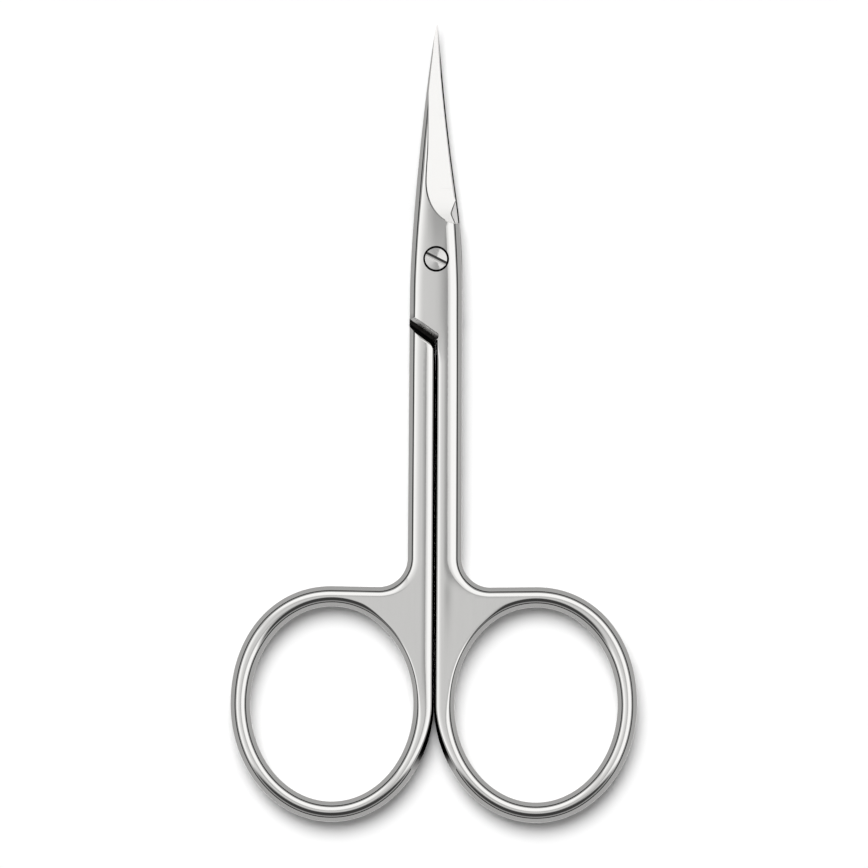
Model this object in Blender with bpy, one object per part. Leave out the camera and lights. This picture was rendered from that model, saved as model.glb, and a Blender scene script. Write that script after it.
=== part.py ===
"""Cuticle scissors: two forged steel halves that turn about one slotted screw.

Lengths are in metres. The scissors lie closed on Z = 0 with their tips towards +Y,
and the screw's axis is the Z axis. Both halves come from one design: each is drawn
with its own blade on the upper side, and the lower half is then turned over about Y.
"""

import math
from collections import namedtuple

import bmesh
import bpy
import numpy as np
from mathutils import Vector

MM = 0.001

# Thickness
THICKNESS = 3.2 * MM            # full height of a ring or a shank
LAP_CLEARANCE = 0.06 * MM       # between the two faces that slide on each other
WALL_HEIGHT = 1.18 * MM         # from the parting plane to the top of a drafted side wall

# Finger rings
HOLE_WIDTH = 19.66 * MM
HOLE_LENGTH = 23.5 * MM
RING_SECTION = 2.37 * MM        # width of the ring's bar at its sides
RING_END_SECTION = 2.45 * MM    # and at its top and bottom
RING_CENTRE_Y = -53.67 * MM
RING_FULLNESS_SHARE = 1.05      # exponent of the oval's upper outer quarter, over an ellipse's
RING_OPENING_SHARE = 0.125      # part of the ring's sweep over which its inner side gains full draft
SHANK_GAP = 0.2 * MM            # between the two shanks, and between the two rings

# Shank and web
SHANK_HALF_WIDTH = 3.25 * MM    # outer side of the shank where it leaves the web
FILLET_RADIUS = 3.5 * MM        # hollow between the shank and the top of the ring
WEB_SADDLE = 0.08 * MM          # how far the web's top dips below the ring's top

# Lap plate round the pivot
PLATE_HALF_WIDTH = 3.165 * MM
PLATE_SHOULDER_Y = -5.0 * MM    # where the sides begin to draw in towards the blades
LAP_END_Y = -7.23 * MM          # where the plate's slanted end meets its outer side
LAP_END_ANGLE = math.radians(35.5)
LAP_CORNER_RADIUS = 0.35 * MM
STEP_GAP = 0.46 * MM            # slanted end of one plate to the step in the other half
STEP_CORNER_RADIUS = 0.75 * MM
STEP_DRAFT = 0.6 * MM           # how far the step leans back over half the thickness

# Side walls: how far a drafted wall leans in, and the rounded shoulder above it
SIDE_DRAFT = 0.66 * MM
SIDE_SHOULDER = 0.75 * MM
RING_DRAFT = 0.56 * MM
RING_SHOULDER = 0.5 * MM
INNER_DRAFT = 0.14 * MM         # sides of the shanks that face each other
INNER_SHOULDER = 0.6 * MM
END_DRAFT = 0.55 * MM           # slanted end of the plate
END_SHOULDER = 0.12 * MM
EDGE_DRAFT = 0.02 * MM          # under the cutting edge, before grinding
EDGE_SHOULDER = 0.02 * MM
SPINE_DRAFT_SHARE = 0.5         # most of the blade's width that a draft may take
SPINE_SHOULDER_SHARE = 0.2

# Blade
BLADE_REACH = 28.23 * MM        # screw axis to tip
TIP_WIDTH = 0.12 * MM
SPINE_LOW_HANDLE = 10.76 * MM   # lower handle of the spine's curve, over the plate's shoulder
SPINE_TIP_HANDLE_X = -0.57 * MM
SPINE_TIP_HANDLE_SHARE = 0.974  # height of the curve's other handle, over the blade's reach
LOWER_SPINE_LOW_HANDLE = 13.2 * MM
LOWER_SPINE_TIP_HANDLE_X = -2.0 * MM
LOWER_SPINE_TIP_HANDLE_SHARE = 0.177
PLATE_SIDE_SHARE = 0.24         # how much of the spine's curve the other side mirrors
HEEL = (2.34 * MM, 7.0 * MM)    # lower end of the cutting edge
EDGE_START = (2.1 * MM, 7.5 * MM)
EDGE_LOW_HANDLE = (1.74 * MM, 9.4 * MM)
EDGE_TIP_HANDLE_X = -0.11 * MM
EDGE_TIP_HANDLE_SHARE = 0.868
TAPER_START_Y = 4.0 * MM        # the blade thins from here
TIP_THICKNESS = 0.45 * MM

# Ground face of the blade
EDGE_LAND = 0.1 * MM            # height left standing at the cutting edge
GRIND_RISE_SHARE = 0.38         # rise of the ground face across the blade, per unit of width
GRIND_TWIST_SHARE = 1.0         # how much steeper it is at the tip
PLUNGE_CENTRE = (2.5 * MM, 9.5 * MM)
PLUNGE_HALF_WIDTH = 4.1 * MM    # the plunge follows a quarter of an ellipse
PLUNGE_HALF_LENGTH = 5.3 * MM
PLUNGE_DRAFT = 0.2 * MM

# Relief notch below the cutting edge
NOTCH_FLOOR = (1.82 * MM, 5.46 * MM)
NOTCH_FOOT = (2.3 * MM, 4.37 * MM)
NOTCH_ROUND = 0.5 * MM

# Screw
SCREW_CLEARANCE = 0.05 * MM
HEAD_RADIUS = 1.34 * MM
HEAD_HEIGHT = 0.85 * MM
HEAD_CHAMFER = 0.08 * MM
COUNTERBORE_RADIUS = 1.56 * MM
BEARING_RADIUS = 1.0 * MM       # plain part of the screw, which the upper half turns on
THREAD_RADIUS = 0.8 * MM
SLOT_WIDTH = 0.5 * MM
SLOT_DEPTH = 0.42 * MM
SLOT_ANGLE = math.radians(-26.6)

# Fineness
OVERRUN = 2.0 * MM              # how far a cutter runs past what it cuts
RING_STEPS = 48
HOLE_STEPS = 52
CURVE_STEPS = 12
CORNER_STEPS = 4
SHOULDER_STEPS = 3
ROUND_STEPS = 40
MITRE_LIMIT = 2.0               # how far an inset corner may run ahead of its sides

STEEL = (0.74, 0.73, 0.71, 1.0)
SCREW_STEEL = (0.68, 0.67, 0.65, 1.0)
STEEL_ROUGHNESS = 0.12
SCREW_ROUGHNESS = 0.2

HALF_THICKNESS = THICKNESS / 2
HALF_GAP = SHANK_GAP / 2
LAP_FACE = LAP_CLEARANCE / 2
RING_HALF_WIDTH = HOLE_WIDTH / 2 + RING_SECTION
RING_HALF_LENGTH = HOLE_LENGTH / 2 + RING_END_SECTION
RING_CENTRE_X = HALF_GAP + RING_HALF_WIDTH

# A point of an outline, with the run of the side wall and of the shoulder that rise from it
Rim = namedtuple("Rim", "x y wall shoulder")
# What differs between the halves: the spine's two handles, the radius of the screw's hole,
# and whether that hole is counterbored for the screw's head
Half = namedtuple("Half", "name low_handle tip_handle hole_radius counterbored")

UPPER = Half("upper_half", SPINE_LOW_HANDLE, (SPINE_TIP_HANDLE_X, SPINE_TIP_HANDLE_SHARE * BLADE_REACH),
             BEARING_RADIUS + SCREW_CLEARANCE, True)
LOWER = Half("lower_half", LOWER_SPINE_LOW_HANDLE,
             (LOWER_SPINE_TIP_HANDLE_X, LOWER_SPINE_TIP_HANDLE_SHARE * BLADE_REACH),
             THREAD_RADIUS + SCREW_CLEARANCE, False)


# Plane curves

def bezier(start, handle_a, handle_b, end, steps):
    """Points of a cubic curve, both ends included."""
    points = []
    for step in range(steps + 1):
        t = step / steps
        weights = ((1 - t) ** 3, 3 * (1 - t) ** 2 * t, 3 * (1 - t) * t ** 2, t ** 3)
        knots = (start, handle_a, handle_b, end)
        points.append(tuple(sum(w * knot[axis] for w, knot in zip(weights, knots)) for axis in (0, 1)))
    return points


def arc(centre, radius, first, last, steps):
    """Points of a circular arc between two angles."""
    angles = [first + (last - first) * step / steps for step in range(steps + 1)]
    return [(centre[0] + radius * math.cos(a), centre[1] + radius * math.sin(a)) for a in angles]


def rounded_corner(before, corner, after, radius, steps):
    """The arc that rounds a corner of a polygon."""
    corner = Vector(corner)
    towards_before = (Vector(before) - corner).normalized()
    towards_after = (Vector(after) - corner).normalized()
    half_angle = towards_before.angle(towards_after) / 2
    middle = (towards_before + towards_after).normalized()
    centre = corner + middle * (radius / math.sin(half_angle))
    reach = radius / math.tan(half_angle)
    start = (corner + towards_before * reach - centre).normalized()
    end = (corner + towards_after * reach - centre).normalized()
    return [tuple(centre + start.slerp(end, step / steps) * radius) for step in range(steps + 1)]


def oval(centre, half_width, half_length, angle, exponent=2.0):
    """Point of an ellipse, or of a fuller oval where the exponent is over 2."""
    across, along = math.cos(angle), math.sin(angle)
    power = 2.0 / exponent
    return (centre[0] + half_width * math.copysign(abs(across) ** power, across),
            centre[1] + half_length * math.copysign(abs(along) ** power, along))


# The outline of one half at the parting plane, anticlockwise

def ring_rim():
    """Outside of the finger ring, from the pivot gap round its foot to its top."""
    rim = []
    for step in range(RING_STEPS + 1):
        turn = step / RING_STEPS
        angle = math.radians(180 + 270 * turn)
        exponent = 2.0 * RING_FULLNESS_SHARE if angle > math.tau else 2.0
        x, y = oval((RING_CENTRE_X, RING_CENTRE_Y), RING_HALF_WIDTH, RING_HALF_LENGTH, angle, exponent)
        opening = min(1.0, turn / RING_OPENING_SHARE)
        wall = INNER_DRAFT + (RING_DRAFT - INNER_DRAFT) * opening
        rim.append(Rim(x, y, wall, RING_SHOULDER))
    return rim


def fillet_rim():
    """Top of the web and the hollow that leads up into the shank."""
    level = RING_CENTRE_Y + RING_HALF_LENGTH - WEB_SADDLE + FILLET_RADIUS
    centre = (SHANK_HALF_WIDTH + FILLET_RADIUS, level)
    points = arc(centre, FILLET_RADIUS, math.radians(270), math.radians(180), CURVE_STEPS)
    return [Rim(x, y, SIDE_DRAFT, SIDE_SHOULDER) for x, y in points]


def spine_curve(low_handle, tip_handle):
    """Back of the blade, from the plate's shoulder to the tip."""
    start = (-PLATE_HALF_WIDTH, PLATE_SHOULDER_Y)
    end = (-TIP_WIDTH / 2, BLADE_REACH)
    handle = (-PLATE_HALF_WIDTH, PLATE_SHOULDER_Y + low_handle)
    return bezier(start, handle, tip_handle, end, 2 * CURVE_STEPS)


def edge_curve():
    """Cutting edge, from above the heel to the tip."""
    handle = (EDGE_TIP_HANDLE_X, EDGE_TIP_HANDLE_SHARE * BLADE_REACH)
    return bezier(EDGE_START, EDGE_LOW_HANDLE, handle, (TIP_WIDTH / 2, BLADE_REACH), CURVE_STEPS)


def plate_side_rim():
    """Side of the plate under the cutting edge, which mirrors the foot of the spine."""
    spine = spine_curve(UPPER.low_handle, UPPER.tip_handle)
    count = round(PLATE_SIDE_SHARE * len(spine))
    return [Rim(-x, y, SIDE_DRAFT, SIDE_SHOULDER) for x, y in spine[:count + 1]]


def edge_rim():
    return [Rim(x, y, EDGE_DRAFT, EDGE_SHOULDER) for x, y in [HEEL] + edge_curve()]


def edge_x_at(y):
    """Place of the cutting edge across the blade, carried on straight below its heel."""
    points = edge_curve()
    lean = (EDGE_START[0] - EDGE_LOW_HANDLE[0]) / (EDGE_LOW_HANDLE[1] - EDGE_START[1])
    if y < EDGE_START[1]:
        return EDGE_START[0] + lean * (EDGE_START[1] - y)
    return float(np.interp(y, [p[1] for p in points], [p[0] for p in points]))


def spine_rim(half):
    """Back of the blade from the tip down, with walls that narrow as the blade does."""
    rim = []
    for x, y in reversed(spine_curve(half.low_handle, half.tip_handle)):
        width = edge_x_at(y) - x
        wall = min(SIDE_DRAFT, SPINE_DRAFT_SHARE * width)
        shoulder = min(SIDE_SHOULDER, SPINE_SHOULDER_SHARE * width)
        rim.append(Rim(x, y, wall, shoulder))
    return rim


def lap_end_rim():
    """Slanted lower end of the plate, turning down into the inner side of the shank."""
    outer = (-PLATE_HALF_WIDTH, LAP_END_Y)
    drop = (PLATE_HALF_WIDTH + HALF_GAP) * math.tan(LAP_END_ANGLE)
    inner = (HALF_GAP, LAP_END_Y - drop)
    below = (HALF_GAP, RING_CENTRE_Y)
    corner = rounded_corner(outer, inner, below, LAP_CORNER_RADIUS, CORNER_STEPS)
    rim = [Rim(*outer, SIDE_DRAFT, END_SHOULDER)]
    rim += [Rim(x, y, END_DRAFT, END_SHOULDER) for x, y in corner[:2]]
    rim += [Rim(x, y, INNER_DRAFT, INNER_SHOULDER) for x, y in corner[-2:]]
    return rim


def half_rim(half):
    rim = ring_rim() + fillet_rim() + plate_side_rim() + edge_rim()
    return rim + spine_rim(half) + lap_end_rim()


def hole_rim():
    """Finger hole, clockwise, so that the metal is on its left too."""
    rim = []
    for step in range(HOLE_STEPS):
        x, y = oval((RING_CENTRE_X, RING_CENTRE_Y), HOLE_WIDTH / 2, HOLE_LENGTH / 2,
                    -math.tau * step / HOLE_STEPS)
        rim.append(Rim(x, y, RING_DRAFT, RING_SHOULDER))
    return rim


# Solids

def inset_loop(rim, wall_share, shoulder_share, z):
    """The rim moved into the metal by its own wall and shoulder, at height z."""
    loop = []
    for index, point in enumerate(rim):
        here = Vector(point[:2])
        before = Vector(rim[index - 1][:2])
        after = Vector(rim[(index + 1) % len(rim)][:2])
        arriving = (here - before).normalized().orthogonal()
        leaving = (after - here).normalized().orthogonal()
        normal = (arriving + leaving).normalized()
        mitre = min(1 / normal.dot(leaving), MITRE_LIMIT)
        run = point.wall * wall_share + point.shoulder * shoulder_share
        loop.append(Vector((*(here + normal * (run * mitre)), z)))
    return loop


def section_levels():
    """Wall share, shoulder share and height of each loop, from the underside to the top."""
    upper = [(1.0, 0.0, WALL_HEIGHT)]
    for step in range(1, SHOULDER_STEPS + 1):
        turn = math.radians(90) * step / SHOULDER_STEPS
        height = WALL_HEIGHT + (HALF_THICKNESS - WALL_HEIGHT) * math.sin(turn)
        upper.append((1.0, 1 - math.cos(turn), height))
    lower = [(wall, shoulder, -z) for wall, shoulder, z in reversed(upper)]
    return lower + [(0.0, 0.0, 0.0)] + upper


def bridge(bm, loop_a, loop_b):
    """Quads between two loops of vertices of the same length."""
    for index in range(len(loop_a)):
        following = (index + 1) % len(loop_a)
        bm.faces.new((loop_a[index], loop_a[following], loop_b[following], loop_b[index]))


def loop_edges(bm, loop):
    return [bm.edges.get((loop[i - 1], loop[i])) for i in range(len(loop))]


def blank_mesh(name, half):
    """One half as forged: full thickness all over, drafted and rounded on both sides."""
    bm = bmesh.new()
    caps = ([], [])
    for rim in (half_rim(half), hole_rim()):
        loops = [[bm.verts.new(p) for p in inset_loop(rim, *level)] for level in section_levels()]
        for below, above in zip(loops, loops[1:]):
            bridge(bm, below, above)
        caps[0].extend(loop_edges(bm, loops[0]))
        caps[1].extend(loop_edges(bm, loops[-1]))
    for edges in caps:
        bmesh.ops.triangle_fill(bm, use_beauty=True, use_dissolve=False, edges=edges)
    bmesh.ops.triangulate(bm, faces=bm.faces)
    bmesh.ops.recalc_face_normals(bm, faces=bm.faces)
    return finished_mesh(name, bm)


def finished_mesh(name, bm):
    mesh = bpy.data.meshes.new(name)
    bm.to_mesh(mesh)
    bm.free()
    return mesh


def loft_mesh(name, sections):
    """Closed solid through sections of the same number of points."""
    bm = bmesh.new()
    loops = [[bm.verts.new(p) for p in section] for section in sections]
    for below, above in zip(loops, loops[1:]):
        bridge(bm, below, above)
    bm.faces.new(loops[0])
    bm.faces.new(loops[-1])
    bmesh.ops.triangulate(bm, faces=bm.faces)
    bmesh.ops.recalc_face_normals(bm, faces=bm.faces)
    return finished_mesh(name, bm)


def turned_mesh(name, profile):
    """Solid of revolution about Z from (radius, z) points, bottom to top."""
    sections = []
    for radius, z in profile:
        angles = [math.tau * step / ROUND_STEPS for step in range(ROUND_STEPS)]
        sections.append([(radius * math.cos(a), radius * math.sin(a), z) for a in angles])
    return loft_mesh(name, sections)


# Cutters, in the coordinates of a half with Z = 0 at the parting plane

def lap_cutter_mesh(name):
    """Takes away the lower half of the thickness beyond the slanted step."""
    slope = math.tan(LAP_END_ANGLE)
    step_y = LAP_END_Y - STEP_GAP / math.cos(LAP_END_ANGLE)
    far_x = PLATE_HALF_WIDTH + OVERRUN
    outer = (far_x, step_y + OVERRUN * slope)
    inner = (HALF_GAP, step_y - (PLATE_HALF_WIDTH - HALF_GAP) * slope)
    below = (HALF_GAP, inner[1] - OVERRUN)
    corner = rounded_corner(outer, inner, below, STEP_CORNER_RADIUS, CORNER_STEPS)
    top_y = BLADE_REACH + OVERRUN
    plan = [outer] + corner[:-1] + [(-OVERRUN, below[1]), (-far_x, below[1]), (-far_x, top_y), (far_x, top_y)]
    sections = []
    for z in (LAP_FACE, -THICKNESS):
        run = STEP_DRAFT * (LAP_FACE - z) / (HALF_THICKNESS + LAP_FACE)
        shift = (run * math.sin(LAP_END_ANGLE), -run * math.cos(LAP_END_ANGLE))
        sections.append([(x + shift[0], y + shift[1], z) for x, y in plan])
    return loft_mesh(name, sections)


def taper_cutter_mesh(name):
    """Thins the blade from the plate to the tip."""
    fall = (HALF_THICKNESS - TIP_THICKNESS) / (BLADE_REACH - TAPER_START_Y)
    far_x = PLATE_HALF_WIDTH + OVERRUN
    far_y = BLADE_REACH + OVERRUN
    end_z = HALF_THICKNESS - fall * (far_y - TAPER_START_Y)
    side = [(TAPER_START_Y, HALF_THICKNESS), (far_y, end_z), (far_y, THICKNESS), (TAPER_START_Y, THICKNESS)]
    return loft_mesh(name, [[(x, y, z) for y, z in side] for x in (-far_x, far_x)])


def ground_height(x, y):
    """Height of the ground face over a point of the blade."""
    along = max(0.0, (y - PLUNGE_CENTRE[1]) / (BLADE_REACH - PLUNGE_CENTRE[1]))
    rise = GRIND_RISE_SHARE * (1 + GRIND_TWIST_SHARE * along ** 2)
    return LAP_FACE + EDGE_LAND + rise * (edge_x_at(y) - x)


def grind_section(outer, inner):
    """Section of the grinding cutter whose wall stands between two points of the plan."""
    far_x = PLATE_HALF_WIDTH + OVERRUN
    return [
        (outer[0], outer[1], THICKNESS),
        (outer[0], outer[1], HALF_THICKNESS),
        (inner[0], inner[1], ground_height(*inner)),
        (edge_x_at(inner[1]), inner[1], LAP_FACE + EDGE_LAND),
        (far_x, inner[1], ground_height(far_x, inner[1])),
        (far_x, outer[1], THICKNESS),
    ]


def grind_cutter_mesh(name):
    """Grinds the blade down to its cutting edge, and ends in the curved plunge."""
    sections = []
    for step in range(1, CURVE_STEPS + 1):
        angle = math.radians(180 + 90 - 90 * step / CURVE_STEPS)
        outer = oval(PLUNGE_CENTRE, PLUNGE_HALF_WIDTH, PLUNGE_HALF_LENGTH, angle)
        inner = oval(PLUNGE_CENTRE, PLUNGE_HALF_WIDTH - PLUNGE_DRAFT, PLUNGE_HALF_LENGTH - PLUNGE_DRAFT, angle)
        sections.append(grind_section(outer, inner))
    left = PLUNGE_CENTRE[0] - PLUNGE_HALF_WIDTH
    length = BLADE_REACH + OVERRUN - PLUNGE_CENTRE[1]
    for step in range(1, CURVE_STEPS + 1):
        y = PLUNGE_CENTRE[1] + length * step / CURVE_STEPS
        sections.append(grind_section((left, y), (left + PLUNGE_DRAFT, y)))
    return loft_mesh(name, sections)


def notch_cutter_mesh(name):
    """Relief notch between the plate and the heel of the cutting edge."""
    far_x = PLATE_HALF_WIDTH + OVERRUN
    corner = rounded_corner(NOTCH_FOOT, NOTCH_FLOOR, HEEL, NOTCH_ROUND, CORNER_STEPS)
    plan = [NOTCH_FOOT] + corner + [HEEL, (far_x, HEEL[1]), (far_x, NOTCH_FOOT[1])]
    return loft_mesh(name, [[(x, y, z) for x, y in plan] for z in (-THICKNESS, THICKNESS)])


def bore_cutter_mesh(name, half):
    """Hole for the screw, with a counterbore for its head in the upper half."""
    radius = half.hole_radius
    profile = [(radius, -THICKNESS), (radius, THICKNESS)]
    if half.counterbored:
        floor = HALF_THICKNESS - HEAD_HEIGHT - SCREW_CLEARANCE
        profile = [(radius, -THICKNESS), (radius, floor), (COUNTERBORE_RADIUS, floor),
                   (COUNTERBORE_RADIUS, THICKNESS)]
    return turned_mesh(name, profile)


# Objects

def steel(name, colour, roughness):
    material = bpy.data.materials.new(name)
    material.use_nodes = True
    shader = material.node_tree.nodes["Principled BSDF"]
    shader.inputs["Base Color"].default_value = colour
    shader.inputs["Metallic"].default_value = 1.0
    shader.inputs["Roughness"].default_value = roughness
    return material


def add_object(name, mesh, parent=None):
    item = bpy.data.objects.new(name, mesh)
    bpy.context.scene.collection.objects.link(item)
    item.parent = parent
    return item


def cut(target, mesh):
    """Boolean difference with a hidden cutter that moves with its target."""
    cutter = add_object(mesh.name, mesh, target)
    cutter.display_type = "WIRE"
    cutter.hide_render = True
    modifier = target.modifiers.new(mesh.name, "BOOLEAN")
    modifier.operation = "DIFFERENCE"
    modifier.solver = "EXACT"
    modifier.object = cutter


def add_half(half):
    item = add_object(half.name, blank_mesh(half.name, half))
    item.location.z = HALF_THICKNESS
    item.data.materials.append(steel(half.name + "_steel", STEEL, STEEL_ROUGHNESS))
    cut(item, lap_cutter_mesh(half.name + "_lap_cutter"))
    cut(item, taper_cutter_mesh(half.name + "_taper_cutter"))
    cut(item, grind_cutter_mesh(half.name + "_grind_cutter"))
    cut(item, notch_cutter_mesh(half.name + "_notch_cutter"))
    cut(item, bore_cutter_mesh(half.name + "_bore_cutter", half))
    return item


def add_screw():
    """Slotted screw: head in the counterbore, plain bearing, and threaded end in the lower half."""
    shoulder = THICKNESS - HEAD_HEIGHT
    bearing_foot = HALF_THICKNESS + LAP_FACE
    profile = [
        (THREAD_RADIUS, 0.0),
        (THREAD_RADIUS, bearing_foot),
        (BEARING_RADIUS, bearing_foot),
        (BEARING_RADIUS, shoulder),
        (HEAD_RADIUS, shoulder),
        (HEAD_RADIUS, THICKNESS - HEAD_CHAMFER),
        (HEAD_RADIUS - HEAD_CHAMFER, THICKNESS),
    ]
    item = add_object("pivot_screw", turned_mesh("pivot_screw", profile))
    item.data.materials.append(steel("pivot_screw_steel", SCREW_STEEL, SCREW_ROUGHNESS))
    reach = HEAD_RADIUS + OVERRUN
    along = Vector((math.cos(SLOT_ANGLE), math.sin(SLOT_ANGLE), 0.0))
    across = Vector((-along.y, along.x, 0.0)) * (SLOT_WIDTH / 2)
    ends = (-reach * along, reach * along)
    corners = (ends[0] - across, ends[1] - across, ends[1] + across, ends[0] + across)
    sections = [[(p.x, p.y, z) for p in corners] for z in (THICKNESS - SLOT_DEPTH, THICKNESS + OVERRUN)]
    cut(item, loft_mesh("pivot_screw_slot_cutter", sections))
    return item


def build():
    for item in list(bpy.data.objects):
        bpy.data.objects.remove(item)
    add_half(UPPER)
    lower = add_half(LOWER)
    lower.rotation_euler.y = math.pi
    add_screw()


build()
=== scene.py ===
"""Looks of the cuticle scissors: fine meshes of both halves and the screw, steel, floor, light and camera.

Each half is drawn as in the CAD part, in its own coordinates: Z = 0 at the parting plane, its ring on
the right and its blade on the upper side. The lower half is then turned over about Y.
"""

import math
from collections import namedtuple

import bmesh
import bpy
import numpy as np
from mathutils import Matrix, Vector
from mathutils.bvhtree import BVHTree
from mathutils.geometry import delaunay_2d_cdt
from mathutils.interpolate import poly_3d_calc


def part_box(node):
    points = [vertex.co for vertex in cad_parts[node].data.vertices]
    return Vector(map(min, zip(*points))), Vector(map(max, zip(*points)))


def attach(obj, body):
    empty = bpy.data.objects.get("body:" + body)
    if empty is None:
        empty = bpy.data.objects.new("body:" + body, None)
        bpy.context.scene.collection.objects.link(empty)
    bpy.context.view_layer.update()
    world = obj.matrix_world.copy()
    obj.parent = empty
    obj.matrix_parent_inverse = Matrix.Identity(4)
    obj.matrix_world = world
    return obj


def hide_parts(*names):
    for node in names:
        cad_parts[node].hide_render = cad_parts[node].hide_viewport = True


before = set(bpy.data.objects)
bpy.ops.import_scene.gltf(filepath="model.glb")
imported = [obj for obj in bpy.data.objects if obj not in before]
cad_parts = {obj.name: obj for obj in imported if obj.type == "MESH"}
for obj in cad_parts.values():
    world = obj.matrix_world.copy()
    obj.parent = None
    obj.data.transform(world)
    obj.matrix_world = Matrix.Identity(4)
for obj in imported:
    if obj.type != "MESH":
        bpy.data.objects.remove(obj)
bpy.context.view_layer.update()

MM = 0.001

# Sizes that the frame gives
_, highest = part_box("upper_half")
THICKNESS = highest.z
BLADE_REACH = highest.y

# Thickness and section
LAP_CLEARANCE = 0.06 * MM
SHOULDER_RISE = 0.28 * MM       # most that a shoulder rises, from its bevel to the flat
SHOULDER_RISE_SHARE = 0.36      # rise of a narrow shoulder, over its run
SIDE_ROUND = 0.03 * MM          # rounding between an upright side and its bevel
BEVEL_ANGLE = math.radians(40)
INNER_ANGLE = math.radians(80)  # bevel of the shanks' facing sides, which are nearly upright
LAP_BEVEL = 0.2 * MM            # broken edge along the back of a blade, at the parting plane
LAP_BEVEL_SHARE = 0.2           # most of the blade's width that it may take
LAP_BEVEL_SLOPE = math.tan(math.radians(35))
HALF_THICKNESS = THICKNESS / 2
LAP_FACE = LAP_CLEARANCE / 2

# Finger rings
HOLE_WIDTH = 19.66 * MM
HOLE_LENGTH = 23.5 * MM
RING_SECTION = 2.37 * MM
RING_END_SECTION = 2.45 * MM
RING_CENTRE_Y = -53.67 * MM
RING_FULLNESS_SHARE = 1.05
RING_OPENING_SHARE = 0.125
SHANK_GAP = 0.2 * MM
HALF_GAP = SHANK_GAP / 2
RING_HALF_WIDTH = HOLE_WIDTH / 2 + RING_SECTION
RING_HALF_LENGTH = HOLE_LENGTH / 2 + RING_END_SECTION
RING_CENTRE_X = HALF_GAP + RING_HALF_WIDTH

# Shank, web and plate
SHANK_HALF_WIDTH = 3.25 * MM
FILLET_RADIUS = 3.5 * MM
WEB_SADDLE = 0.08 * MM
PLATE_HALF_WIDTH = 3.165 * MM
PLATE_SHOULDER_Y = -5.0 * MM
PLATE_CROWN_RADIUS = 28.0 * MM
PLATE_CROWN_REACH = 1.45 * MM   # the crown runs on straight from here
PLATE_CROWN_FADE = (-13.0 * MM, -6.0 * MM)
SWELL_RUN = 0.8 * MM            # each shank's flat falls away towards a shoulder over this run
SWELL_SLOPE = 0.064
SWELL_REACH = 2.48 * MM         # how far from the outer side it starts, round the fillet too
UNDER_SWELL_RIDGE = 1.71 * MM   # X at which it starts underneath, where it falls the other way
FILLET_SWELL_FADE = (-41.0 * MM, -36.5 * MM)
SWELL_FADE = (-51.0 * MM, -31.0 * MM)
UNDER_SWELL_FADE = (-56.0 * MM, -48.0 * MM)
LAP_END_Y = -7.23 * MM
LAP_END_ANGLE = math.radians(35.5)
LAP_CORNER_RADIUS = 0.35 * MM
STEP_GAP = 0.46 * MM
STEP_CORNER_RADIUS = 0.75 * MM
STEP_DRAFT = 0.6 * MM
STEP_ROUND = 0.25 * MM          # hollow at the foot of the step
STEP_ROUND_TURN = math.radians(85)

# Side walls and the shoulders above them
SIDE_DRAFT = 0.54 * MM
SIDE_SHOULDER = 1.12 * MM
SHANK_SHOULDER = 1.0 * MM
FILLET_WIDE_SHARE = 0.7         # how far up the fillet this width is reached
RING_DRAFT = 0.54 * MM
RING_SHOULDER = 0.64 * MM
WEB_SHOULDER = 0.25 * MM        # the hole's shoulder where it borders on the web
WEB_ANGLE = math.radians(150)
WEB_SPREAD = (0.75, 0.95)
INNER_DRAFT = 0.14 * MM
INNER_RIDGE = 0.08 * MM         # forging ridge along the middle of the shanks' facing sides
INNER_START_RUN = 3.0 * MM      # over which the inner side's shoulder grows below the plate
INNER_FLARE = 0.26 * MM         # and widens towards the step of the other half
INNER_FLARE_POWER = 3           # how quickly the flare dies out below the plate
INNER_SHOULDER = 0.76 * MM
END_DRAFT = 0.52 * MM
END_LEAN = 0.05 * MM            # run of the low wall above the slanted bevel
END_MARGIN = 0.35 * MM          # the plate is blanked this much longer, then cut to its slanted end
SHARP = 0.02 * MM               # bevel and shoulder of an edge that is left sharp
SPINE_DRAFT = 0.3 * MM          # the blade's back bevel, which narrows towards the tip
SPINE_DRAFT_SHARE = 0.05
SPINE_DRAFT_LIMIT_SHARE = 0.4
SPINE_SHOULDER_SHARE = 0.2

# Blade
TIP_WIDTH = 0.12 * MM
SPINE_LOW_HANDLE = 10.76 * MM
SPINE_TIP_HANDLE_X = -0.57 * MM
SPINE_TIP_HANDLE_SHARE = 0.974
LOWER_SPINE_LOW_HANDLE = 13.2 * MM
LOWER_SPINE_TIP_HANDLE_X = -2.0 * MM
LOWER_SPINE_TIP_HANDLE_SHARE = 0.177
PLATE_SIDE_SHARE = 0.24
HEEL = (2.34 * MM, 7.0 * MM)
EDGE_START = (2.1 * MM, 7.5 * MM)
EDGE_LOW_HANDLE = (1.74 * MM, 9.4 * MM)
EDGE_TIP_HANDLE_X = -0.11 * MM
EDGE_TIP_HANDLE_SHARE = 0.868
TAPER_START_Y = 0.0 * MM
TAPER_POWER = 1.35
TIP_THICKNESS = 0.3 * MM
EDGE_LAND = 0.1 * MM
GRIND_RISE_SHARE = 0.25
GRIND_LOW_SHARE = 0.12          # flatter towards the plunge
GRIND_FADE = (4.5 * MM, 9.0 * MM)
PLUNGE_CENTRE = (2.5 * MM, 9.5 * MM)
PLUNGE_HALF_WIDTH = 4.0 * MM
PLUNGE_HALF_LENGTH = 5.3 * MM
PLUNGE_DRAFT = 0.14 * MM
PLUNGE_HIGHLIGHT_X = 1.1 * MM        # its wall is a painted highlight from here on, painted shade before
RIDGE_DRAFT = 0.3 * MM          # its gentler wall along the blade
PLUNGE_LEAN = 0.19 * MM         # how far its straight part leans in, up to this height
PLUNGE_LEAN_Y = 14.0 * MM
NOTCH_FLOOR = (1.82 * MM, 5.46 * MM)
NOTCH_FOOT = (2.3 * MM, 4.37 * MM)
NOTCH_ROUND = 0.5 * MM
NOTCH_DRAFT = 0.14 * MM
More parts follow.
